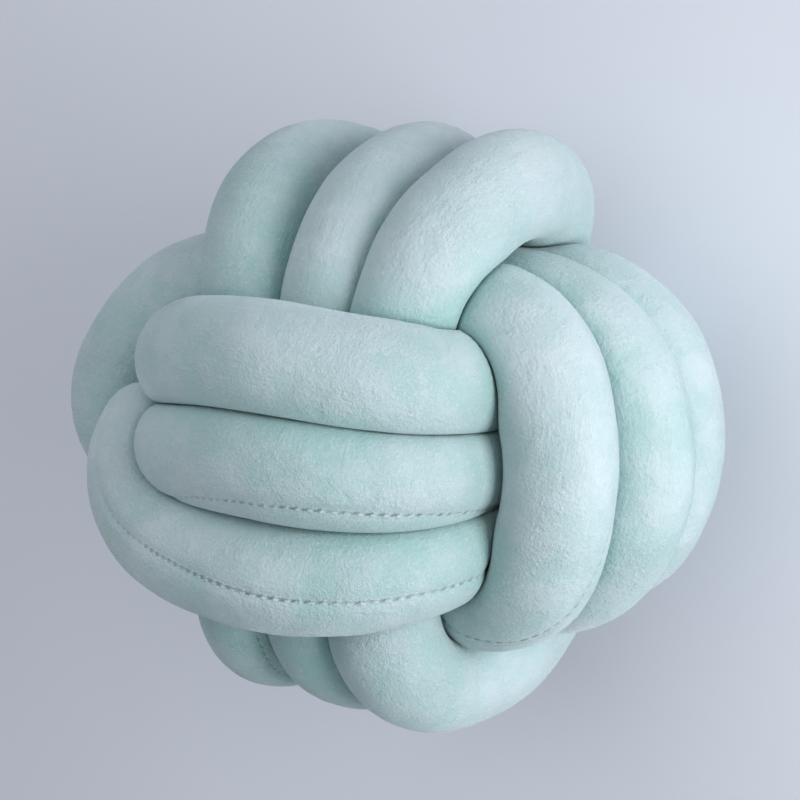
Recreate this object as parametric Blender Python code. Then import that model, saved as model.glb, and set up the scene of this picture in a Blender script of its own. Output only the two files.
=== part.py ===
"""Knot cushion: one long stuffed plush tube, wound into a ball knot.

The tube makes three sets of three turns, and each set stands square to the other two.
Each set goes round the outside of one of the others and through the inside of the third,
so the ball holds itself together. Its first end is tucked inside, and its last end comes
round the end of a turn and goes in between two others.
The ball lies on its back, with three strands of the last set up. Metres, +Z up.
"""

import math
from collections import namedtuple

import bmesh
import bpy
import numpy as np
from mathutils import Vector

MM = 0.001
TINY = 1e-9

# The driving dimensions.
BALL_ACROSS = 300.0 * MM
TUBE_RADIUS = 26.5 * MM  # where nothing presses on it

# The stuffed tube.
BEVEL_RESOLUTION = 3  # ten sides
RING_STEP = 11.0 * MM  # along the tube
CLEARANCE = 2.4 * MM  # between two strands that press on each other
OWN_BEND = 70.0 * MM  # a strand doesn't press on itself nearer than this along the tube
BEND_SHARE = 0.65  # how much of a bend's radius the cover may fill on the inside
END_SHARE = 0.3  # radius of the drawn-in ends, as a share of the tube's
LEAST_ROOM = 3.0 * MM  # that a pressed strand always keeps beside its middle
REST_PRESS = 7.0 * MM  # how much its own weight flattens the strands underneath

# One turn of the knot, alike in all three sets.
SIDE_PRESS = 3.0 * MM  # how much two strands side by side on a face press together
WAIST_SHARE = 2.0 / 3.0  # thickness left to each strand where three pass inside the ball
COVER_SLACK = 5.0 * MM  # between a strand and the strands under it, before they press
REACH = BALL_ACROSS / 2.0 - TUBE_RADIUS  # from the middle of the ball to a strand on a face
WAIST = REACH - 2.0 * TUBE_RADIUS - COVER_SLACK  # half the width of a turn
FACE_SPACING = 2.0 * TUBE_RADIUS - SIDE_PRESS
WAIST_SPACING = 2.0 * TUBE_RADIUS * WAIST_SHARE
FLARE = 0.2  # how much wider a turn is where it goes round the next set
SQUARENESS = 2.7  # 2 would be an ellipse
STATIONS_PER_HALF_TURN = 8
STEPS_PER_STATION = 6  # of the first curve through the stations
SMOOTHINGS = 4  # of the evenly stepped line

PLUSH_COLOUR = (0.48, 0.70, 0.66, 1.0)
PLUSH_ROUGHNESS = 0.92

# The axis that a set's turns reach out along, the one that its strands run along on the
# faces of the ball, and the one that they lie side by side along. In the order in which the
# tube makes the sets, each beginning with the turn on the plus side.
AXES = {"x": 0, "y": 1, "z": 2}
TurnSet = namedtuple("TurnSet", "out along beside")
SETS = {
    "side": TurnSet("x", "y", "z"),
    "top": TurnSet("y", "z", "x"),
    "front": TurnSet("z", "x", "y"),
}
STRANDS_PER_SET = 6

# Strands that have settled away from their even places, by their set and their number in
# it, counted from 0. In millimetres: rise outwards, shift sideways, slant askew from end to
# end, slide along the strand.
Settled = namedtuple("Settled", "rise shift slant slide")
EVEN = Settled(0, 0, 0, 0)
SETTLED = {
    # Left of the face the upper strand bulges out and up, with the last end lying on it.
    ("side", 0): Settled(8, 8, 0, -10),
    # The last end pushes the two upper strands of the face a little to the right.
    ("front", 1): Settled(0, 0, 0, 4),
    ("front", 3): Settled(2, 3, 0, 8),
    # Right of the face the middle strand stands out over the two beside it.
    ("side", 1): Settled(-4, 0, 0, 0),
    ("side", 3): Settled(10, 0, 0, 0),
    ("side", 5): Settled(0, -3, 0, 0),
    # Above the face the strands lean back to the right, and the left one lies lowest.
    ("top", 1): Settled(2, 8, -8, 0),
    ("top", 3): Settled(0, 4, -12, 0),
    ("top", 5): Settled(-5, -4, 0, 0),
    # Below the face the strands are drawn in.
    ("top", 0): Settled(-7, -4, 0, 8),
    ("top", 2): Settled(-7, 0, 0, 0),
    ("top", 4): Settled(-7, 0, 0, 0),
}

# The tube's way from a set to the next, a route chosen by hand and the same both times: past
# the last strand it turns in beside the turns of the set that comes after, and out again to
# the next set's first strand. In millimetres, along the axes of the set that it leaves.
CROSSING_LEAVE = 0.2  # half turns past the last strand
Waypoint = namedtuple("Waypoint", "out along beside")
CROSSING = (
    Waypoint(80, -60, -52),
    Waypoint(60, -72, -60),
    Waypoint(50, -92, -56),
    Waypoint(50, -112, -28),
)
FIRST_WAYPOINTS = 3  # of these that the tube's first end, tucked inside, still follows

# The last end sweeps round the end of the middle turn, going down on its way, and goes in
# between that turn and the first.
LAST_LEAVE = 0.1  # half turns past the last strand
LAST_SWEEP = 92.0 * MM  # how far out beside the turn it comes
LAST_DROP = 44.0 * MM
LAST_STOP = 14.0 * MM  # how far past the middle turn's middle it stops
LAST_TURN = math.radians(110.0)  # a quarter turn and a little back in again
LAST_PLACES = 6
LAST_TAPER = 8.0 * MM  # how much thinner the tube gets towards this end


def clear_scene():
    for old in list(bpy.data.objects):
        bpy.data.objects.remove(old, do_unlink=True)


def signed_power(value, power):
    return math.copysign(abs(value) ** power, value)


def eased(part):
    part = min(max(part, 0.0), 1.0)
    return part * part * (3.0 - 2.0 * part)


def lane_of(number):
    """The place of a strand beside the middle turn: a turn is two strands."""
    return 1 - number // 2


def laid_on(turn_set, out, along, beside):
    place = Vector()
    place[AXES[turn_set.out]] = out
    place[AXES[turn_set.along]] = along
    place[AXES[turn_set.beside]] = beside
    return place


def place_on_turn(name, half_turns):
    """The tube's middle after that many half turns from the middle of the set's first strand."""
    turn_set = SETS[name]
    last = STRANDS_PER_SET - 1
    before = min(max(int(half_turns), 0), last - 1)
    lane = lane_of(before)
    lane += (lane_of(before + 1) - lane) * eased(half_turns - before)
    nearest = min(max(round(half_turns), 0), last)
    settled = SETTLED.get((name, nearest), EVEN)
    facing = -1.0 if nearest % 2 == 0 else 1.0

    angle = half_turns * math.pi
    across, round_the_end = math.cos(angle), math.sin(angle)
    on_face = across * across
    power = 2.0 / SQUARENESS
    out = -REACH * signed_power(across, power)
    along = WAIST * signed_power(round_the_end, power)
    along *= 1.0 + FLARE * math.sin(2.0 * angle) ** 2
    beside = lane * (WAIST_SPACING + (FACE_SPACING - WAIST_SPACING) * on_face)

    out += facing * settled.rise * MM * on_face
    beside += settled.shift * MM * on_face
    beside -= facing * settled.slant * MM * round_the_end * abs(across)
    along += settled.slide * MM * on_face

    return laid_on(turn_set, out, along, beside)


def last_end(start):
    """Places along the last end: beside the middle turn's end, between it and the side strands."""
    for index in range(1, LAST_PLACES + 1):
        part = index / LAST_PLACES
        turned = part * LAST_TURN
        x = start.x - (LAST_SWEEP + start.x) * math.sin(turned)
        across = (1.0 - math.cos(turned)) / (1.0 - math.cos(LAST_TURN))
        y = start.y + (LAST_STOP - start.y) * across
        yield Vector((x, y, start.z - LAST_DROP * part * part)), TUBE_RADIUS - LAST_TAPER * part


def tube_stations():
    """Places down the middle of the whole tube, first end to last, and its radius there."""
    stations = []
    turn_set_before = SETS["front"]
    waypoints = CROSSING[-FIRST_WAYPOINTS:]
    for name, turn_set in SETS.items():
        stations.extend(laid_on(turn_set_before, *waypoint) * MM for waypoint in waypoints)
        finish = STRANDS_PER_SET - 1 + (LAST_LEAVE if name == "front" else CROSSING_LEAVE)
        count = round(finish * STATIONS_PER_HALF_TURN)
        stations.extend(place_on_turn(name, finish * index / count) for index in range(count + 1))
        turn_set_before = turn_set
        waypoints = CROSSING
    radii = [TUBE_RADIUS] * len(stations)
    for place, radius in last_end(stations[-1]):
        stations.append(place)
        radii.append(radius)
    return stations, radii


def curve_through(stations):
    """Points along a smooth curve through the stations."""
    curve = bpy.data.curves.new("tube_middle", "CURVE")
    curve.dimensions = "3D"
    curve.resolution_u = STEPS_PER_STATION
    spline = curve.splines.new("BEZIER")
    spline.bezier_points.add(len(stations) - 1)
    for point, place in zip(spline.bezier_points, stations):
        point.co = place
        point.handle_left_type = "AUTO"
        point.handle_right_type = "AUTO"
    guide = bpy.data.objects.new("tube_middle", curve)
    line = bpy.data.meshes.new_from_object(guide)
    points = np.array([vertex.co for vertex in line.vertices])
    bpy.data.objects.remove(guide)
    bpy.data.curves.remove(curve)
    bpy.data.meshes.remove(line)
    return points


def run_along(points):
    """How far along the line each point lies."""
    steps = np.linalg.norm(np.diff(points, axis=0), axis=1)
    return np.concatenate([[0.0], np.cumsum(steps)])


def evenly_stepped(points, step):
    """The same line with a point every step, eased a little where it bends hard."""
    run = run_along(points)
    wanted = np.linspace(0.0, run[-1], round(run[-1] / step) + 1)
    line = np.stack([np.interp(wanted, run, points[:, axis]) for axis in range(3)], axis=1)
    for _ in range(SMOOTHINGS):
        line[1:-1] = (line[:-2] + 2.0 * line[1:-1] + line[2:]) / 4.0
    return line


def radii_along(centres, stations, radii):
    """The tube's radius at each point of its middle line, drawn in towards both ends."""
    run = run_along(centres)
    station_run = run_along(np.array(stations))
    along = np.interp(run / run[-1], station_run / station_run[-1], radii)
    from_end = np.minimum(run, run[-1] - run)
    share = np.sqrt(np.maximum(1.0 - np.maximum(1.0 - from_end / along, 0.0) ** 2, END_SHARE**2))
    return along * share


def round_tube(centres, radii):
    """The tube as it would be with nothing pressing on it: open, ring after ring of points."""
    curve = bpy.data.curves.new("tube_round", "CURVE")
    curve.dimensions = "3D"
    curve.bevel_depth = TUBE_RADIUS
    curve.bevel_resolution = BEVEL_RESOLUTION
    spline = curve.splines.new("POLY")
    spline.points.add(len(centres) - 1)
    for point, centre, radius in zip(spline.points, centres, radii):
        point.co = (*centre, 1.0)
        point.radius = radius / TUBE_RADIUS
    guide = bpy.data.objects.new("tube_round", curve)
    mesh = bpy.data.meshes.new_from_object(guide)
    bpy.data.objects.remove(guide)
    bpy.data.curves.remove(curve)
    return mesh


def press_strands(centres, radii, cover):
    """Draws the cover in where another strand presses on it, to the plane in which the two meet."""
    apart = np.linalg.norm(centres[:, None] - centres[None], axis=2)
    run = run_along(centres)
    for ring, centre in enumerate(centres):
        others = (np.abs(run - run[ring]) > OWN_BEND) & (apart[ring] < radii[ring] + radii + CLEARANCE)
        near = np.nonzero(others)[0]
        if not len(near):
            continue
        distance = apart[ring, near]
        towards = (centres[near] - centre) / distance[:, None]
        room = (distance + (radii[ring] ** 2 - radii[near] ** 2) / distance - CLEARANCE) / 2.0
        room = np.maximum(room, LEAST_ROOM)
        reach = (cover[ring] - centre) @ towards.T
        share = np.min(room / np.maximum(reach, TINY), axis=1)
        cover[ring] = centre + (cover[ring] - centre) * np.minimum(share, 1.0)[:, None]


def press_bends(centres, cover):
    """Draws the cover in on the inside of a tight bend, so that it doesn't fold through itself."""
    ahead = np.gradient(centres, axis=0)
    step = np.linalg.norm(ahead, axis=1, keepdims=True)
    turning = np.gradient(ahead / step, axis=0) / step
    bend = np.einsum("rsk,rk->rs", cover - centres[:, None], turning)
    share = np.minimum(BEND_SHARE / np.maximum(bend, TINY), 1.0)
    cover[:] = centres[:, None] + (cover - centres[:, None]) * share[..., None]


def press_floor(centres, cover):
    """Flattens what would reach below the floor, and returns the floor's height."""
    floor = cover[..., 2].min() + REST_PRESS
    drop = np.maximum(centres[:, None, 2] - cover[..., 2], TINY)
    share = np.minimum((centres[:, None, 2] - floor) / drop, 1.0)
    cover[:] = centres[:, None] + (cover - centres[:, None]) * share[..., None]
    return floor


def knot_mesh():
    """The whole tube as one closed mesh, lying on its back with the floor at z = 0."""
    stations, station_radii = tube_stations()
    centres = evenly_stepped(curve_through(stations), RING_STEP)
    radii = radii_along(centres, stations, station_radii)
    mesh = round_tube(centres, radii)
    cover = np.array([vertex.co for vertex in mesh.vertices]).reshape(len(centres), -1, 3)
    press_bends(centres, cover)
    press_strands(centres, radii, cover)
    floor = press_floor(centres, cover)

    points = cover.reshape(-1, 3)
    middle = (points.min(axis=0) + points.max(axis=0)) / 2.0
    points = points - (middle[0], middle[1], floor)
    mesh.vertices.foreach_set("co", points.ravel())

    shape = bmesh.new()
    shape.from_mesh(mesh)
    rims = [edge for edge in shape.edges if edge.is_boundary]
    bmesh.ops.holes_fill(shape, edges=rims)
    bmesh.ops.recalc_face_normals(shape, faces=shape.faces)
    shape.to_mesh(mesh)
    shape.free()
    mesh.shade_smooth()
    mesh.name = "knot_tube"
    return mesh


def plush():
    material = bpy.data.materials.new("plush")
    material.use_nodes = True
    shader = material.node_tree.nodes["Principled BSDF"]
    shader.inputs["Base Color"].default_value = PLUSH_COLOUR
    shader.inputs["Roughness"].default_value = PLUSH_ROUGHNESS
    shader.inputs["Metallic"].default_value = 0.0
    return material


def build():
    clear_scene()
    parts = bpy.data.collections.new("knot_cushion")
    bpy.context.scene.collection.children.link(parts)
    knot = bpy.data.objects.new("knot_tube", knot_mesh())
    knot.data.materials.append(plush())
    parts.objects.link(knot)


build()
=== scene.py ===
"""Knot cushion: the looks of the plush ball knot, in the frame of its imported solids.

One stuffed tube of short-pile plush makes three sets of three turns. The cover here follows
the same path as the solid does, with a finer, softer form: the filling swells where nothing
presses, a lengthwise seam with its stitches runs along the tube, and the pile is brushed.
Metres, +Z up.
"""

import math
from collections import namedtuple

import bmesh
import bpy
import numpy as np
from mathutils import Euler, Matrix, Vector, noise


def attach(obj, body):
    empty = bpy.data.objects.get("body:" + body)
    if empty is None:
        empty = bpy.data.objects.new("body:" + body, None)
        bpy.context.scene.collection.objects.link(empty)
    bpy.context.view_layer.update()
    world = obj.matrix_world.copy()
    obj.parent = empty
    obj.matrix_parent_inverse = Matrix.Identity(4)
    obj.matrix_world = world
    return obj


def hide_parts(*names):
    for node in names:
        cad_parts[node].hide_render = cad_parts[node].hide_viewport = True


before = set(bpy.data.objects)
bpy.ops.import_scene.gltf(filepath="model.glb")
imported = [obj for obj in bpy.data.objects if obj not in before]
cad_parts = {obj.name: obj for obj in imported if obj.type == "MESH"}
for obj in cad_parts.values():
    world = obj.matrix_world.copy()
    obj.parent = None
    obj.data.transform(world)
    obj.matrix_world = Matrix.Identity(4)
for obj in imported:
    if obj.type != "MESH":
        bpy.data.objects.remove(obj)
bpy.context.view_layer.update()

MM = 0.001
TINY = 1e-9
AXES = {"x": 0, "y": 1, "z": 2}

# The path of the tube, as the solid has it.
BALL_ACROSS = 300.0 * MM
TUBE_RADIUS = 26.5 * MM
SIDE_PRESS = 3.0 * MM  # how much two strands side by side on a face press together
WAIST_SHARE = 2.0 / 3.0  # thickness left to each strand where three pass inside the ball
COVER_SLACK = 5.0 * MM  # between a strand and the strands under it, before they press
REACH = BALL_ACROSS / 2.0 - TUBE_RADIUS
WAIST = REACH - 2.0 * TUBE_RADIUS - COVER_SLACK  # half the width of a turn
FACE_SPACING = 2.0 * TUBE_RADIUS - SIDE_PRESS
WAIST_SPACING = 2.0 * TUBE_RADIUS * WAIST_SHARE
FLARE = 0.2  # how much wider a turn is where it goes round the next set
SQUARENESS = 2.7  # 2 would be an ellipse
STATIONS_PER_HALF_TURN = 8
STEPS_PER_STATION = 6
COARSE_STEP = 11.0 * MM
SMOOTHINGS = 4
KNOT_CENTRE = Vector((-1.5, -4.1, 141.7)) * MM  # where the three sets cross, in the part's frame

# The cover.
FINE_STEP = 3.4 * MM
FINE_SMOOTHINGS = 3
SIDES = 56
CLEARANCE = 0.5 * MM  # between the covers of two strands
OWN_BEND = 70.0 * MM  # along the tube, nearer than which it doesn't press on itself
NEIGHBOUR_REACH = 2.4 * TUBE_RADIUS  # from middle to middle of strands that may touch
LEAST_ROOM = 3.0 * MM
OPEN_ROOM = 1.0  # where nothing presses, in metres
BEND_SHARE = 0.7  # of a bend's radius, for the cover on the inside of the bend
END_SHARE = 0.3  # of the tube's radius, at its very ends
SWELL_LIMIT = 1.05  # how far the filling pushes a pressed tube out where it is free
SWELL_PASSES = 6
SWELL_SMOOTHINGS = 12
SHOULDER = 3.5 * MM  # how softly the cover turns into a pressed face
CREASE_SHADE_REACH = 8.0 * MM  # how far from a pressed face the painted crease shade reaches
Lump = namedtuple("Lump", "width height")
LUMPS = (Lump(48.0 * MM, 0.9 * MM), Lump(17.0 * MM, 0.3 * MM))
NEAR_SEAM = 0.55  # how much closer the lines of the mesh lie near the seam
SEAM_DIP = 0.9 * MM
SEAM_WIDTH = 3.0 * MM
PLACE_SMOOTHINGS = 60  # ring by ring, of what changes from place to place along the tube

TurnSet = namedtuple("TurnSet", "out along beside")
SETS = {
    "side": TurnSet("x", "y", "z"),
    "top": TurnSet("y", "z", "x"),
    "front": TurnSet("z", "x", "y"),
}
STRANDS_PER_SET = 6

# Strands that have settled away from their even places, by their set and their number in
# it, counted from 0. In millimetres: rise outwards, shift sideways, slant askew from end to
# end, slide along the strand.
Settled = namedtuple("Settled", "rise shift slant slide")
EVEN = Settled(0, 0, 0, 0)
SETTLED = {
    # Left of the face the upper strand bulges out and up, with the last end lying on it.
    ("side", 0): Settled(8, 8, 0, -10),
    # The last end pushes the two upper strands of the face a little to the right.
    ("front", 1): Settled(0, 0, 0, 4),
    ("front", 3): Settled(2, 3, 0, 8),
    # Right of the face the middle strand stands out over the two beside it.
    ("side", 1): Settled(-4, 0, 0, 0),
    ("side", 3): Settled(10, 0, 0, 0),
    ("side", 5): Settled(0, -3, 0, 0),
    # Above the face the strands lean back to the right, and the left one lies lowest.
    ("top", 1): Settled(2, 8, -8, 0),
    ("top", 3): Settled(0, 4, -12, 0),
    ("top", 5): Settled(-5, -4, 0, 0),
    # Below the face the strands are drawn in.
    ("top", 0): Settled(-7, -4, 0, 8),
    ("top", 2): Settled(-7, 0, 0, 0),
    ("top", 4): Settled(-7, 0, 0, 0),
}

# The tube's way from a set to the next, a route listed here and the same both times: past
# the last strand it turns in beside the turns of the set that comes after, and out again to
# the next set's first strand. In millimetres, along the axes of the set that it leaves.
CROSSING_LEAVE = 0.2  # half turns past the last strand
Waypoint = namedtuple("Waypoint", "out along beside")
CROSSING = (
    Waypoint(80, -60, -52),
    Waypoint(60, -72, -60),
    Waypoint(50, -92, -56),
    Waypoint(50, -112, -28),
)
FIRST_WAYPOINTS = 3  # of these that the tube's first end, tucked inside, still follows

# The last end sweeps round the end of the middle turn, going down on its way, and goes in
# between that turn and the first.
LAST_LEAVE = 0.1  # half turns past the last strand
LAST_SWEEP = 92.0 * MM  # how far out beside the turn it comes
LAST_DROP = 44.0 * MM
LAST_STOP = 14.0 * MM  # how far past the middle turn's middle it stops
LAST_TURN = math.radians(110.0)  # a quarter turn and a little back in again
LAST_PLACES = 6
LAST_TAPER = 8.0 * MM  # how much thinner the tube gets towards this end

# Where the seam lies on a strand: half turns from the middle of the set's first strand, and
# degrees round the tube from the way out of the ball, towards the strand's left as it runs.
# Its last column is how much of the stitches shows through the pile, from 0 to 1.
SeamPlace = namedtuple("SeamPlace", "turn_set half_turns degrees shows")
SEAM = (
    SeamPlace("side", 0.9, -75, 0.2),
    SeamPlace("side", 1.1, -30, 0.4),
    SeamPlace("side", 1.25, 25, 0.7),
    SeamPlace("side", 1.4, 80, 1.0),
    SeamPlace("side", 3.0, 180, 1.0),
    SeamPlace("side", 5.0, 180, 1.0),
    SeamPlace("top", 1.0, 180, 1.0),
    SeamPlace("top", 3.0, 180, 1.0),
    SeamPlace("top", 4.0, 75, 0.5),
    SeamPlace("top", 4.4, 60, 0.5),
    SeamPlace("top", 5.0, 180, 0.5),
    SeamPlace("front", 1.0, 180, 1.0),
    SeamPlace("front", 2.8, -25, 1.0),
    SeamPlace("front", 3.0, -32, 0.9),
    SeamPlace("front", 3.1, -44, 0.1),
    SeamPlace("front", 3.2, -55, 0.0),
    SeamPlace("front", 4.8, 5, 0.8),
    SeamPlace("front", 5.0, 20, 1.0),
    SeamPlace("front", 5.15, 32, 0.6),
    SeamPlace("front", 5.3, 32, 0.0),
)

# How pale the pile is, strand by strand: partly the brushed nap, laid over paler and ruffled deeper,
# and partly painted light and shade, set to the brightness at each place.
StrokedAndLit = namedtuple("StrokedAndLit", "turn_set half_turns laid_over")
NAP_AND_LIGHT_BY_STRAND = (
    StrokedAndLit("side", 0.0, 0.0),
    StrokedAndLit("side", 0.3, 0.2),
    StrokedAndLit("side", 0.7, 0.2),
    StrokedAndLit("side", 1.0, 0.2),
    StrokedAndLit("side", 1.4, -0.2),
    StrokedAndLit("side", 2.7, 0.2),
    StrokedAndLit("side", 3.0, -0.1),
    StrokedAndLit("side", 3.3, 0.5),
    StrokedAndLit("side", 5.0, 0.3),
    StrokedAndLit("top", 0.6, -0.1),
    StrokedAndLit("top", 1.0, 0.3),
    StrokedAndLit("top", 2.2, -0.3),
    StrokedAndLit("top", 3.0, 0.5),
    StrokedAndLit("top", 4.2, -0.3),
    StrokedAndLit("top", 4.7, -0.2),
    StrokedAndLit("top", 5.0, 0.3),
    StrokedAndLit("front", 0.7, 0.1),
    StrokedAndLit("front", 1.0, 0.0),
    StrokedAndLit("front", 1.3, 0.3),
    StrokedAndLit("front", 3.0, 0.0),
    StrokedAndLit("front", 3.3, 0.1),
    StrokedAndLit("front", 5.0, 0.0),
    StrokedAndLit("front", 5.3, 0.3),
)

# The pile's colours; the last is painted shade, for the depths of the seam's crease and its stitch
# holes.
NAP_LAID_OVER = (0.58, 0.66, 0.69, 1.0)
NAP_RUFFLED = (0.33, 0.535, 0.51, 1.0)
NAP_GLINT = (0.72, 0.80, 0.83, 1.0)
PAINTED_DEPTH_SHADE = (0.10, 0.21, 0.20, 1.0)

# The clouds in the finishes: how fine, detailed and rough each is, and where it has them, the
# low and high values between which it goes from none to all.
Cloud = namedtuple("Cloud", "scale detail roughness low high", defaults=(None, None))
WIDE_NAP = Cloud(17.0, 3.0, 0.6, 0.38, 0.62)
SMALL_NAP = Cloud(62.0, 4.0, 0.65, 0.42, 0.60)
STROKES = Cloud(1.0, 4.0, 0.65)
TUFTS = Cloud(640.0, 3.0, 0.8)
TUFTED = Cloud(11.0, 2.0, 0.5, 0.42, 0.58)
UNCOVERED = Cloud(260.0, 2.0, 0.6, 0.36, 0.56)
SEAM_DRIFT = Cloud(1.0, 2.0, 0.5)
FLOOR_SHADE = Cloud(3.0, 3.0, 0.5, 0.3, 0.7)
STROKES_STRETCH = (110.0, 520.0, 1.0)  # along the tube, round it
SEAM_DRIFT_STRETCH = (60.0, 0.0, 0.0)

# How much each of them does to the paleness of the pile, and to its height.
Shares = namedtuple("Shares", "small_nap strokes tufts")
PALENESS = Shares(0.17, 0.25, 0.28)
HEIGHT = Shares(0.35, 0.5, 1.1)
WIDE_NAP_PALENESS = 0.32
CREASE_SHADE_DEEPENS = 0.35  # painted shade: the pile beside a pressed face is darkened towards its deeper colour
LEAST_TUFTED = 0.55  # how high the tufts stand where they stand least
MORE_TUFTED = 0.6
GLINTS_BETWEEN = (0.56, 0.68)  # the highest tufts catch the light
GLINT_TINT = 0.4
BUMP_STRENGTH = 0.8
BUMP_DISTANCE = 1.2 * MM
PILE_ROUGHNESS = 0.9
PILE_SPECULAR = 0.15
SHEEN = 0.7
SHEEN_ROUGHNESS = 0.4
SHEEN_TINT = (0.85, 0.97, 1.0, 1.0)

# The seam's marks in the pile: how far from its line each reaches, over what share of that it
# is full, how strongly it tints the pile (painted shade in the crease and holes, the glints' painted
# highlight colour on the threads), and how much it sinks or lifts it.
SeamMark = namedtuple("SeamMark", "reach full tint height")
HOLE = SeamMark(1.1 * MM, 0.4, 0.72, 1.2)
THREAD = SeamMark(1.8 * MM, 0.3, 0.45, 0.8)
CREASE = SeamMark(1.2 * MM, 0.0, 0.10, 0.8)
STITCH_LENGTH = 4.0 * MM
STITCH_LEAN = 2.5  # stitch lengths off the seam's line, where a stitch lies one length back
HOLE_WITHIN = (0.26, 0.10)  # stitch lengths from a hole's middle, from none of it to all
THREAD_BEYOND = (0.26, 0.40)
SEAM_WANDER = 1.6 * MM
LEAST_UNCOVERED = 0.25  # of a stitch, where the pile lies over it
LEAST_CREASE = 0.2  # where the pile hides the seam

# The camera at the photo's angle.
CAMERA_DEGREES = (-10.5, 33.0, 3.5)
CAMERA_DISTANCE = 1.22
CAMERA_LENS = 111.0
CAMERA_SENSOR = 36.0
CAMERA_SHIFT = (0.0, 0.029)

# The floor and the light.
FLOOR_HALF = 6.0
FLOOR_DEEPER = (0.77, 0.795, 0.86, 1.0)
FLOOR_PALER = (0.80, 0.825, 0.89, 1.0)
FLOOR_ROUGHNESS = 0.8
FLOOR_PARTS = 4
Lamp = namedtuple("Lamp", "name place size watts colour")
LAMPS = (
    Lamp("window", (1.18, 0.12, 0.46), (1.0, 0.6), 13.5, (0.96, 0.98, 1.0)),
    Lamp("sky", (0.25, 0.6, 1.8), (1.4, 1.4), 8.0, (0.93, 0.96, 1.0)),
    Lamp("wall", (-1.0, 0.9, 1.1), (0.9, 0.9), 3.8, (0.93, 0.96, 1.0)),
)
ROOM_COLOUR = (0.88, 0.92, 1.0, 1.0)
ROOM_STRENGTH = 0.30


# ---------------------------------------------------------------- the path of the tube


def signed_power(value, power):
    return math.copysign(abs(value) ** power, value)


def eased(part):
    part = min(max(part, 0.0), 1.0)
    return part * part * (3.0 - 2.0 * part)


def lane_of(number):
    """The place of a strand beside the middle turn: a turn is two strands."""
    return 1 - number // 2


def laid_on(turn_set, out, along, beside):
    place = Vector()
    place[AXES[turn_set.out]] = out
    place[AXES[turn_set.along]] = along
    place[AXES[turn_set.beside]] = beside
    return place


def place_on_turn(name, half_turns):
    """The tube's middle after that many half turns from the middle of the set's first strand."""
    turn_set = SETS[name]
    last = STRANDS_PER_SET - 1
    before = min(max(int(half_turns), 0), last - 1)
    lane = lane_of(before)
    lane += (lane_of(before + 1) - lane) * eased(half_turns - before)
    nearest = min(max(round(half_turns), 0), last)
    settled = SETTLED.get((name, nearest), EVEN)
    facing = -1.0 if nearest % 2 == 0 else 1.0

    angle = half_turns * math.pi
    across, round_the_end = math.cos(angle), math.sin(angle)
    on_face = across * across
    power = 2.0 / SQUARENESS
    out = -REACH * signed_power(across, power)
    along = WAIST * signed_power(round_the_end, power)
    along *= 1.0 + FLARE * math.sin(2.0 * angle) ** 2
    beside = lane * (WAIST_SPACING + (FACE_SPACING - WAIST_SPACING) * on_face)

    out += facing * settled.rise * MM * on_face
    beside += settled.shift * MM * on_face
    beside -= facing * settled.slant * MM * round_the_end * abs(across)
    along += settled.slide * MM * on_face

    return laid_on(turn_set, out, along, beside)


def last_end(start):
    """Places along the last end: beside the middle turn's end, between it and the side strands."""
    for index in range(1, LAST_PLACES + 1):
        part = index / LAST_PLACES
        turned = part * LAST_TURN
        x = start.x - (LAST_SWEEP + start.x) * math.sin(turned)
        across = (1.0 - math.cos(turned)) / (1.0 - math.cos(LAST_TURN))
        y = start.y + (LAST_STOP - start.y) * across
        yield Vector((x, y, start.z - LAST_DROP * part * part)), TUBE_RADIUS - LAST_TAPER * part


def tube_stations():
    """Places down the middle of the whole tube, first end to last, and its radius there."""
    stations = []
    turn_set_before = SETS["front"]
    waypoints = CROSSING[-FIRST_WAYPOINTS:]
    for name, turn_set in SETS.items():
        stations.extend(laid_on(turn_set_before, *waypoint) * MM for waypoint in waypoints)
        finish = STRANDS_PER_SET - 1 + (LAST_LEAVE if name == "front" else CROSSING_LEAVE)
        count = round(finish * STATIONS_PER_HALF_TURN)
        stations.extend(place_on_turn(name, finish * index / count) for index in range(count + 1))
        turn_set_before = turn_set
        waypoints = CROSSING
    radii = [TUBE_RADIUS] * len(stations)
    for place, radius in last_end(stations[-1]):
        stations.append(place)
        radii.append(radius)
    return stations, radii


def curve_through(stations):
    """Points along a smooth curve through the stations."""
    curve = bpy.data.curves.new("tube_middle", "CURVE")
    curve.dimensions = "3D"
    curve.resolution_u = STEPS_PER_STATION
    spline = curve.splines.new("BEZIER")
    spline.bezier_points.add(len(stations) - 1)
    for point, place in zip(spline.bezier_points, stations):
        point.co = place
        point.handle_left_type = "AUTO"
        point.handle_right_type = "AUTO"
    guide = bpy.data.objects.new("tube_middle", curve)
    line = bpy.data.meshes.new_from_object(guide)
    points = np.array([vertex.co for vertex in line.vertices])
    bpy.data.objects.remove(guide)
    bpy.data.curves.remove(curve)
    bpy.data.meshes.remove(line)
    return points


def run_along(points):
    """How far along the line each point lies."""
    steps = np.linalg.norm(np.diff(points, axis=0), axis=1)
    return np.concatenate([[0.0], np.cumsum(steps)])


def evenly_stepped(points, step, smoothings):
    """The same line with a point every step, eased a little where it bends hard."""
    run = run_along(points)
    wanted = np.linspace(0.0, run[-1], round(run[-1] / step) + 1)
    line = np.stack([np.interp(wanted, run, points[:, axis]) for axis in range(3)], axis=1)
    for _ in range(smoothings):
        line[1:-1] = (line[:-2] + 2.0 * line[1:-1] + line[2:]) / 4.0
    return line


def radii_along(line, stations, radii):
    """The tube's radius at each point of its middle line, before its ends are drawn in."""
    run, station_run = run_along(line), run_along(np.array(stations))
    return np.interp(run / run[-1], station_run / station_run[-1], radii)


def unit(vectors):
    return vectors / np.maximum(np.linalg.norm(vectors, axis=-1, keepdims=True), TINY)


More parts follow.
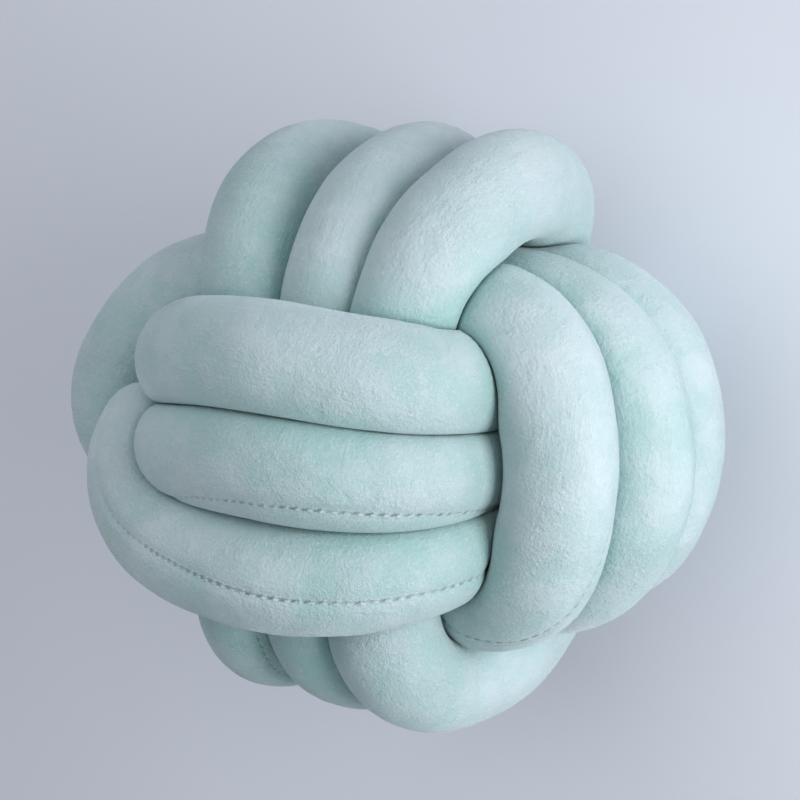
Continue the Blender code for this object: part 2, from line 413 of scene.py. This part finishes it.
class TubeLine:
    """The middle line of the tube, with the way ahead, the way out of the ball and a steady side."""

    def __init__(self):
        stations, radii = tube_stations()
        coarse = evenly_stepped(curve_through(stations), COARSE_STEP, SMOOTHINGS)
        self.centres = evenly_stepped(curve_through(coarse), FINE_STEP, FINE_SMOOTHINGS)
        self.radii = radii_along(self.centres, stations, radii)
        self.run = run_along(self.centres)
        self.ahead = unit(np.gradient(self.centres, axis=0))
        self.steady = self.carried_side()
        outward = self.centres - (self.centres * self.ahead).sum(1)[:, None] * self.ahead
        self.outward = unit(outward)

    def carried_side(self):
        """A direction across the tube that turns as little as it can from ring to ring."""
        sides = np.zeros_like(self.centres)
        side = Vector(self.ahead[0]).orthogonal()
        for ring, ahead in enumerate(self.ahead):
            side = (side - side.dot(Vector(ahead)) * Vector(ahead)).normalized()
            sides[ring] = side
        return sides

    def angle_of(self, ring, direction):
        """The angle of a direction across the tube, from the steady side, in radians."""
        up = self.steady[ring]
        left = np.cross(self.ahead[ring], up)
        return math.atan2(direction @ left, direction @ up)

    def ring_at(self, name, half_turns):
        """The ring nearest to that place on a set's turns."""
        place = np.array(place_on_turn(name, half_turns))
        return int(np.argmin(np.linalg.norm(self.centres - place, axis=1)))

    def between_places(self, places, values):
        """A value for each ring, from its values at a few places along the tube."""
        runs = [self.run[self.ring_at(place.turn_set, place.half_turns)] for place in places]
        return smoothed_along(np.interp(self.run, runs, values), PLACE_SMOOTHINGS)

    def seam_angles(self):
        """Where the seam lies round each ring, from the steady side."""
        angles = []
        for place in SEAM:
            ring = self.ring_at(place.turn_set, place.half_turns)
            out = self.outward[ring]
            left = np.cross(self.ahead[ring], out)
            turn = math.radians(place.degrees)
            wanted = self.angle_of(ring, math.cos(turn) * out + math.sin(turn) * left)
            if angles:
                wanted += round((angles[-1] - wanted) / math.tau) * math.tau
            angles.append(wanted)
        return self.between_places(SEAM, angles)


# ---------------------------------------------------------------- the cover


def round_tube(centres):
    """An even open tube round the line: its mesh holds the cover's rings, one after another."""
    curve = bpy.data.curves.new("tube_round", "CURVE")
    curve.dimensions = "3D"
    curve.bevel_depth = TUBE_RADIUS
    curve.bevel_resolution = (SIDES - 4) // 2
    spline = curve.splines.new("POLY")
    spline.points.add(len(centres) - 1)
    for point, centre in zip(spline.points, centres):
        point.co = (*centre, 1.0)
    guide = bpy.data.objects.new("tube_round", curve)
    mesh = bpy.data.meshes.new_from_object(guide)
    bpy.data.objects.remove(guide)
    bpy.data.curves.remove(curve)
    return mesh


def angles_from_seam():
    """The sides of a ring as angles from the seam, closer together near it."""
    even = np.linspace(-math.pi, math.pi, SIDES, endpoint=False)
    return even - NEAR_SEAM * np.sin(even)


def spokes_of(line, seam, angles):
    """Directions across the tube to every point of the cover, ring after ring."""
    left = np.cross(line.ahead, line.steady)
    turned = seam[:, None] + angles[None, :]
    across = np.cos(turned)[..., None] * line.steady[:, None]
    return across + np.sin(turned)[..., None] * left[:, None]


def room_for(line, spokes):
    """How far the cover may reach along each spoke before it meets another strand."""
    centres = line.centres
    room = np.full(spokes.shape[:2], OPEN_ROOM)
    apart = np.linalg.norm(centres[:, None] - centres[None], axis=2)
    for ring, centre in enumerate(centres):
        others = np.abs(line.run - line.run[ring]) > OWN_BEND
        near = np.nonzero(others & (apart[ring] < NEIGHBOUR_REACH))[0]
        if not len(near):
            continue
        distance = apart[ring, near]
        towards = (centres[near] - centre) / distance[:, None]
        uneven = (line.radii[ring] ** 2 - line.radii[near] ** 2) / distance
        meeting = np.maximum((distance + uneven - CLEARANCE) / 2.0, LEAST_ROOM)
        facing = np.maximum(spokes[ring] @ towards.T, TINY)
        room[ring] = np.min(meeting / facing, axis=1)
    return room


def bend_room(line, spokes):
    """How far the cover may reach on the inside of a tight bend."""
    step = np.linalg.norm(np.gradient(line.centres, axis=0), axis=1, keepdims=True)
    turning = np.gradient(line.ahead, axis=0) / step
    bend = np.einsum("rsk,rk->rs", spokes, turning)
    return BEND_SHARE / np.maximum(bend, TINY)


def soft_least(one, other, softness):
    """The lesser of two reaches, with a rounded change from one to the other."""
    part = np.clip(0.5 + 0.5 * (other - one) / softness, 0.0, 1.0)
    return other + (one - other) * part - softness * part * (1.0 - part)


def smoothed_along(values, passes):
    """Values ring by ring along the tube, evened out with their neighbours."""
    values = values.copy()
    for _ in range(passes):
        values[1:-1] = (values[:-2] + 2.0 * values[1:-1] + values[2:]) / 4.0
    return values


def filled_reach(room, radii):
    """The filling swells out where nothing presses, so each ring keeps most of its area."""
    swell = radii.copy()
    for _ in range(SWELL_PASSES):
        area = np.mean(np.minimum(swell[:, None], room) ** 2, axis=1)
        swell *= np.sqrt(radii**2 / area)
        swell = np.clip(swell, radii, SWELL_LIMIT * radii)
    return smoothed_along(swell, SWELL_SMOOTHINGS)


def drawn_in(line):
    """The share of its reach that each ring keeps: all, but for the round ends of the tube."""
    from_end = np.minimum(line.run, line.run[-1] - line.run)
    short = np.maximum(1.0 - from_end / line.radii, 0.0)
    return np.sqrt(np.maximum(1.0 - short**2, END_SHARE**2))[:, None]


def lumps_at(points):
    """How far the uneven filling pushes the cover out at each point."""
    push = np.zeros(len(points))
    for lump in LUMPS:
        push += [noise.noise(Vector(point) / lump.width) * lump.height for point in points]
    return push


def cover_reach(line, room, angles):
    """How far the cover stands from the tube's middle, before its lumps."""
    swell = filled_reach(room, line.radii)
    reach = soft_least(np.broadcast_to(swell[:, None], room.shape), room, SHOULDER)
    reach -= SEAM_DIP * np.exp(-((angles * TUBE_RADIUS / SEAM_WIDTH) ** 2))[None, :]
    return reach * drawn_in(line)


def cover_points(line, spokes, room, reach):
    """The cover's points in the part's frame: lumpy where it is free, flat where it rests."""
    middles = line.centres[:, None]
    cover = middles + spokes * reach[..., None]
    lumps = lumps_at(cover.reshape(-1, 3)).reshape(reach.shape)
    free = np.clip((room - reach) / SHOULDER, 0.0, 1.0)
    cover += spokes * (lumps * free)[..., None]

    height = middles[..., 2] + KNOT_CENTRE.z
    drop = np.maximum(middles[..., 2] - cover[..., 2], TINY)
    share = np.minimum(height / drop, 1.0)
    cover = middles + (cover - middles) * share[..., None]
    return cover + np.array(KNOT_CENTRE)


def cover_mesh():
    line = TubeLine()
    angles = angles_from_seam()
    spokes = spokes_of(line, line.seam_angles(), angles)
    room = np.minimum(room_for(line, spokes), bend_room(line, spokes))
    reach = cover_reach(line, room, angles)
    cover = cover_points(line, spokes, room, reach)

    mesh = round_tube(line.centres)
    assert len(mesh.vertices) == cover.shape[0] * cover.shape[1]
    mesh.vertices.foreach_set("co", cover.ravel())
    lay_out(mesh, line, angles)
    # How pale the nap is, ring by ring: partly its brushing, partly painted light and shade.
    nap_and_painted_light = line.between_places(NAP_AND_LIGHT_BY_STRAND, [row.laid_over for row in NAP_AND_LIGHT_BY_STRAND])
    shows = line.between_places(SEAM, [row.shows for row in SEAM])
    # Painted crease shade: strongest where the cover presses on another strand.
    painted_crease_shade = np.exp(-np.maximum(room - reach, 0.0) / CREASE_SHADE_REACH)
    give_points(mesh, "nap_and_painted_light", np.repeat(nap_and_painted_light, SIDES))
    give_points(mesh, "seam_shows", np.repeat(shows, SIDES))
    give_points(mesh, "painted_crease_shade", painted_crease_shade.ravel())
    close_ends(mesh)
    mesh.shade_smooth()
    mesh.name = "knot_cover"
    return mesh


def lay_out(mesh, line, angles):
    """UV: metres along the tube, and metres round it from the seam."""
    corners = np.zeros(len(mesh.loops), np.int32)
    mesh.loops.foreach_get("vertex_index", corners)
    ring, side = corners // SIDES, corners % SIDES
    firsts = np.zeros(len(mesh.polygons), np.int32)
    mesh.polygons.foreach_get("loop_start", firsts)
    round_it = np.append(angles, math.pi)
    groups = side.reshape(-1, 4)
    across_back = (groups.max(axis=1) - groups.min(axis=1)) > 1
    groups = np.where(across_back[:, None] & (groups == 0), SIDES, groups)
    place = np.stack([line.run[ring], round_it[groups.ravel()] * TUBE_RADIUS], axis=1)
    while mesh.uv_layers:
        mesh.uv_layers.remove(mesh.uv_layers[0])
    layer = mesh.uv_layers.new(name="along_and_round")
    layer.data.foreach_set("uv", place.ravel())


def give_points(mesh, name, values):
    """A value at each point of the mesh, for its finish to read."""
    layer = mesh.attributes.new(name, "FLOAT", "POINT")
    layer.data.foreach_set("value", values)


def close_ends(mesh):
    """Closes the tube's two open ends, with every face pointing outwards."""
    shape = bmesh.new()
    shape.from_mesh(mesh)
    rims = [edge for edge in shape.edges if edge.is_boundary]
    bmesh.ops.holes_fill(shape, edges=rims)
    bmesh.ops.recalc_face_normals(shape, faces=shape.faces)
    shape.to_mesh(mesh)
    shape.free()


# ---------------------------------------------------------------- finishes


class Socket:
    """A value on its way to a shader; arithmetic on it adds Math nodes."""

    def __init__(self, finish, socket):
        self.finish = finish
        self.socket = socket

    def maths(self, operation, *values):
        return self.finish.add("ShaderNodeMath", {"operation": operation}, dict(enumerate(values)))

    def __add__(self, other):
        return self.maths("ADD", self, other)

    __radd__ = __add__

    def __sub__(self, other):
        return self.maths("SUBTRACT", self, other)

    def __rsub__(self, other):
        return self.maths("SUBTRACT", other, self)

    def __mul__(self, other):
        return self.maths("MULTIPLY", self, other)

    __rmul__ = __mul__

    def __truediv__(self, other):
        return self.maths("DIVIDE", self, other)

    def __rtruediv__(self, other):
        return self.maths("DIVIDE", other, self)

    def __abs__(self):
        return self.maths("ABSOLUTE", self)

    def fraction(self):
        return self.maths("FRACT", self)


class Finish:
    """A material and its nodes."""

    def __init__(self, name):
        self.material = bpy.data.materials.new(name)
        self.material.use_nodes = True
        self.tree = self.material.node_tree
        self.shader = self.tree.nodes["Principled BSDF"]

    def add(self, kind, settings=None, sockets=None, output=0):
        """A node with its settings, then its sockets; gives the output that is asked for."""
        node = self.tree.nodes.new(kind)
        for name, value in (settings or {}).items():
            setattr(node, name, value)
        for name, value in (sockets or {}).items():
            self.feed(node.inputs[name], value)
        return Socket(self, node.outputs[output])

    def feed(self, target, value):
        if isinstance(value, Socket):
            self.tree.links.new(value.socket, target)
        else:
            target.default_value = value

    def set(self, values):
        """Values and links of the shader's own sockets."""
        for name, value in values.items():
            self.feed(self.shader.inputs[name], value)

    def cloud(self, where, kind):
        """Soft noise, from 0 to 1."""
        sockets = {
            "Vector": where,
            "Scale": kind.scale,
            "Detail": kind.detail,
            "Roughness": kind.roughness,
        }
        soft = self.add("ShaderNodeTexNoise", {"noise_dimensions": "3D"}, sockets)
        if kind.low is None:
            return soft
        return self.between(soft, kind.low, kind.high)

    def given(self, name):
        """A value that the mesh has at its points."""
        return self.add("ShaderNodeAttribute", {"attribute_name": name}, output="Fac")

    def between(self, value, low, high):
        """0 up to low, 1 from high on, with a soft rise."""
        sockets = {"Value": value, "From Min": low, "From Max": high}
        return self.add("ShaderNodeMapRange", {"interpolation_type": "SMOOTHSTEP"}, sockets)

    def mixed(self, share, one, other):
        """A colour: the one where the share is 0, the other where it is 1."""
        # Of the Mix node's sockets, 6 and 7 are its colours, and its output 2 is their mix.
        return self.add("ShaderNodeMix", {"data_type": "RGBA"}, {0: share, 6: one, 7: other}, 2)

    def stretched(self, where, stretch):
        return self.add("ShaderNodeVectorMath", {"operation": "MULTIPLY"}, {0: where, 1: stretch})


def pile(finish, place, cloth):
    """The brushed pile's colour, with its painted light and shade, and its height at each point."""
    wide_nap = finish.cloud(place, WIDE_NAP)
    small_nap = finish.cloud(place, SMALL_NAP)
    strokes = finish.cloud(finish.stretched(cloth, STROKES_STRETCH), STROKES)
    tufts = finish.cloud(place, TUFTS)
    tufted = finish.cloud(place, TUFTED) * MORE_TUFTED + LEAST_TUFTED

    nap = wide_nap * WIDE_NAP_PALENESS + small_nap * PALENESS.small_nap
    nap = nap + strokes * PALENESS.strokes + tufts * PALENESS.tufts
    # Painted light and shade: the nap paler or deeper strand by strand, partly for its brushing and
    # partly for the light, and painted shade beside pressed faces.
    nap = nap + finish.given("nap_and_painted_light") - finish.given("painted_crease_shade") * CREASE_SHADE_DEEPENS
    colour = finish.mixed(nap, NAP_RUFFLED, NAP_LAID_OVER)
    glints = finish.between(tufts, *GLINTS_BETWEEN) * tufted * GLINT_TINT
    colour = finish.mixed(glints, colour, NAP_GLINT)

    height = tufts * tufted * HEIGHT.tufts + strokes * HEIGHT.strokes
    return colour, height + small_nap * HEIGHT.small_nap


def seam_in(finish, place, cloth, colour, height):
    """The pile's colour and height with the seam in it: its crease, stitch holes and threads, the
    crease and holes in painted shade, the threads with painted highlight.
    """
    along = finish.add("ShaderNodeSeparateXYZ", None, {"Vector": cloth}, "X")
    round_it = finish.add("ShaderNodeSeparateXYZ", None, {"Vector": cloth}, "Y")
    drift = finish.cloud(finish.stretched(cloth, SEAM_DRIFT_STRETCH), SEAM_DRIFT) - 0.5
    across = round_it + drift * SEAM_WANDER
    beside = abs(across)
    stitch = (along / STITCH_LENGTH + across / (STITCH_LEAN * STITCH_LENGTH)).fraction()
    from_middle = abs(stitch - 0.5)
    shows = finish.given("seam_shows")
    seen = finish.cloud(place, UNCOVERED) * (1.0 - LEAST_UNCOVERED) + LEAST_UNCOVERED

    in_hole = finish.between(from_middle, *HOLE_WITHIN) * seen * shows
    in_hole = in_hole * finish.between(beside, HOLE.reach, HOLE.full * HOLE.reach)
    on_thread = finish.between(from_middle, *THREAD_BEYOND) * seen * shows
    on_thread = on_thread * finish.between(beside, THREAD.reach, THREAD.full * THREAD.reach)
    in_crease = finish.between(beside, CREASE.reach, CREASE.full * CREASE.reach)
    in_crease = in_crease * (LEAST_CREASE + (1.0 - LEAST_CREASE) * shows)

    # Painted shade in the seam's crease and stitch holes.
    colour = finish.mixed(in_crease * CREASE.tint, colour, PAINTED_DEPTH_SHADE)
    colour = finish.mixed(in_hole * HOLE.tint, colour, PAINTED_DEPTH_SHADE)
    # The threads: pale thread, lightened further with the glints' painted highlight colour.
    colour = finish.mixed(on_thread * THREAD.tint, colour, NAP_GLINT)
    height = height - in_crease * CREASE.height - in_hole * HOLE.height
    return colour, height + on_thread * THREAD.height


def plush():
    """Short brushed pile: pale where the nap lies over, deeper and greener where it is ruffled, with
    painted light and shade strand by strand and painted shade beside pressed faces.
    """
    finish = Finish("plush_pile")
    place = finish.add("ShaderNodeTexCoord", output="Object")
    cloth = finish.add("ShaderNodeUVMap", {"uv_map": "along_and_round"})
    colour, height = pile(finish, place, cloth)
    colour, height = seam_in(finish, place, cloth, colour, height)
    sockets = {"Strength": BUMP_STRENGTH, "Distance": BUMP_DISTANCE, "Height": height}
    finish.set(
        {
            "Base Color": colour,
            "Normal": finish.add("ShaderNodeBump", None, sockets),
            "Roughness": PILE_ROUGHNESS,
            "Specular IOR Level": PILE_SPECULAR,
            "Sheen Weight": SHEEN,
            "Sheen Roughness": SHEEN_ROUGHNESS,
            "Sheen Tint": SHEEN_TINT,
        }
    )
    return finish.material


def floor_paint():
    finish = Finish("pale_floor")
    place = finish.add("ShaderNodeTexCoord", output="Object")
    colour = finish.mixed(finish.cloud(place, FLOOR_SHADE), FLOOR_DEEPER, FLOOR_PALER)
    finish.set({"Base Color": colour, "Roughness": FLOOR_ROUGHNESS})
    return finish.material


# ---------------------------------------------------------------- the scene


def link(name, data):
    thing = bpy.data.objects.new(name, data)
    bpy.context.scene.collection.objects.link(thing)
    return thing


def make_cover():
    cover = link("knot_cover", cover_mesh())
    cover.data.materials.clear()
    cover.data.materials.append(plush())
    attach(cover, "root")
    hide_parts("knot_tube")


def make_floor():
    mesh = bpy.data.meshes.new("floor")
    shape = bmesh.new()
    bmesh.ops.create_grid(shape, x_segments=FLOOR_PARTS, y_segments=FLOOR_PARTS, size=FLOOR_HALF)
    shape.to_mesh(mesh)
    shape.free()
    floor = link("floor", mesh)
    mesh.materials.append(floor_paint())


def make_camera():
    data = bpy.data.cameras.new("camera")
    camera = link("camera", data)
    turn = Euler([math.radians(degrees) for degrees in CAMERA_DEGREES])
    camera.rotation_euler = turn
    camera.location = KNOT_CENTRE + turn.to_matrix() @ Vector((0.0, 0.0, CAMERA_DISTANCE))
    data.sensor_width = CAMERA_SENSOR
    data.lens = CAMERA_LENS
    data.shift_x, data.shift_y = CAMERA_SHIFT
    bpy.context.scene.camera = camera


def soft_lamp(lamp):
    data = bpy.data.lights.new(lamp.name, "AREA")
    data.shape = "RECTANGLE"
    data.size, data.size_y = lamp.size
    data.energy = lamp.watts
    data.color = lamp.colour
    light = link(lamp.name, data)
    light.location = Vector(lamp.place)
    light.rotation_euler = (KNOT_CENTRE - light.location).to_track_quat("-Z", "Y").to_euler()


def make_light():
    for lamp in LAMPS:
        soft_lamp(lamp)
    room = bpy.data.worlds.new("room")
    room.use_nodes = True
    background = room.node_tree.nodes["Background"]
    background.inputs["Color"].default_value = ROOM_COLOUR
    background.inputs["Strength"].default_value = ROOM_STRENGTH
    bpy.context.scene.world = room
    bpy.context.scene.view_settings.view_transform = "Standard"


make_camera()
make_light()
make_floor()
make_cover()
